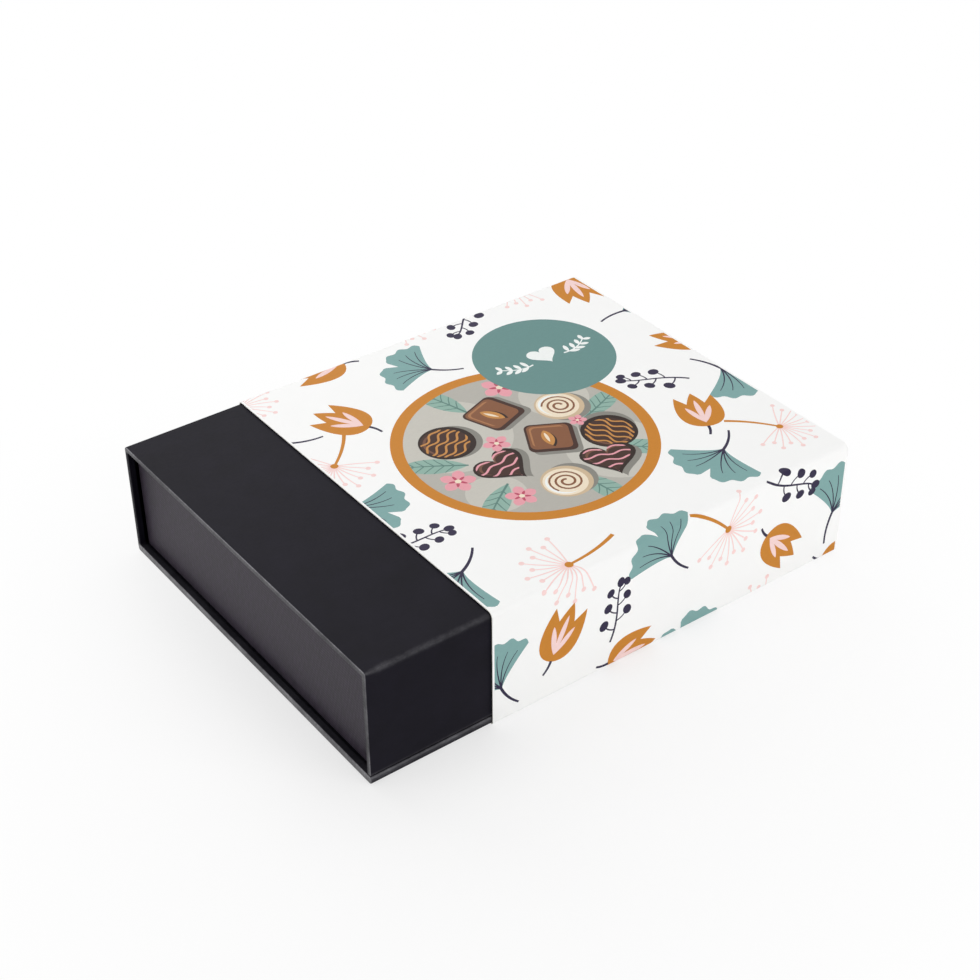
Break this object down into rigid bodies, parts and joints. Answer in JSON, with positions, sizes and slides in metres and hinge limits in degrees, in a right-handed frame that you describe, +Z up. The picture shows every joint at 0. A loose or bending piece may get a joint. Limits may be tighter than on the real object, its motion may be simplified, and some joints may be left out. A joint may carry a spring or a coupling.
{
  "type": "chocolate box",
  "caption": "Book-style black gift box of chocolates with a magnetic flap, in a white printed card sleeve drawn partly off.",
  "frame": {"origin": "middle of the overall footprint at rest, on the plane that the sleeve stands on", "axes": "+Z up; X is the way the sleeve slides, with the box showing at -X; the front flap faces -Y and the spine +Y"},
  "size_m": [0.2656, 0.2018, 0.0607],
  "materials": {
    "greyboard": "matte",
    "black_paper": "smooth matte",
    "linen_paper": "fine linen emboss",
    "white_card": "printed, silk",
    "magnet": "plated",
    "disc_steel": "bare",
    "insert_plastic": "formed sheet",
    "pad_paper": "embossed",
    "dark_chocolate": "satin",
    "bitter_chocolate": "satin",
    "milk_chocolate": "satin",
    "white_chocolate": "satin"
  },
  "bodies": {
    "box": {"base_board": "greyboard", "spine_board": "greyboard", "lid_board": "greyboard", "flap_board": "greyboard", "flap_magnet_1": "magnet", "flap_magnet_2": "magnet", "case_wrap": "black_paper", "case_lining": "black_paper", "tray_floor": "greyboard", "tray_front_wall": "greyboard", "tray_back_wall": "greyboard", "tray_near_end_wall": "greyboard", "tray_far_end_wall": "greyboard", "tray_disc_1": "disc_steel", "tray_disc_2": "disc_steel", "tray_wrap": "linen_paper", "tray_lining": "black_paper", "lower_insert": "insert_plastic", "lower_chocolate_1": "dark_chocolate", "lower_chocolate_2": "bitter_chocolate", "lower_chocolate_3": "milk_chocolate", "lower_chocolate_4": "white_chocolate", "lower_chocolate_5": "bitter_chocolate", "lower_chocolate_6": "milk_chocolate", "lower_chocolate_7": "white_chocolate", "lower_chocolate_8": "dark_chocolate", "lower_chocolate_9": "milk_chocolate", "lower_chocolate_10": "white_chocolate", "lower_chocolate_11": "dark_chocolate", "lower_chocolate_12": "bitter_chocolate", "lower_chocolate_13": "white_chocolate", "lower_chocolate_14": "dark_chocolate", "lower_chocolate_15": "bitter_chocolate", "lower_chocolate_16": "milk_chocolate", "middle_pad": "pad_paper", "upper_insert": "insert_plastic", "upper_chocolate_1": "bitter_chocolate", "upper_chocolate_2": "milk_chocolate", "upper_chocolate_3": "white_chocolate", "upper_chocolate_4": "dark_chocolate", "upper_chocolate_5": "milk_chocolate", "upper_chocolate_6": "white_chocolate", "upper_chocolate_7": "dark_chocolate", "upper_chocolate_8": "bitter_chocolate", "upper_chocolate_9": "white_chocolate", "upper_chocolate_10": "dark_chocolate", "upper_chocolate_11": "bitter_chocolate", "upper_chocolate_12": "milk_chocolate", "upper_chocolate_13": "dark_chocolate", "upper_chocolate_14": "bitter_chocolate", "upper_chocolate_15": "milk_chocolate", "upper_chocolate_16": "white_chocolate", "top_pad": "pad_paper"},
    "sleeve": {"sleeve": "white_card"}
  },
  "joints": [
    {"name": "sleeve_slide", "type": "slide", "parent": "box", "child": "sleeve", "axis": [1, 0, 0], "range_m": [-0.0615, 0.1475]}
  ]
}
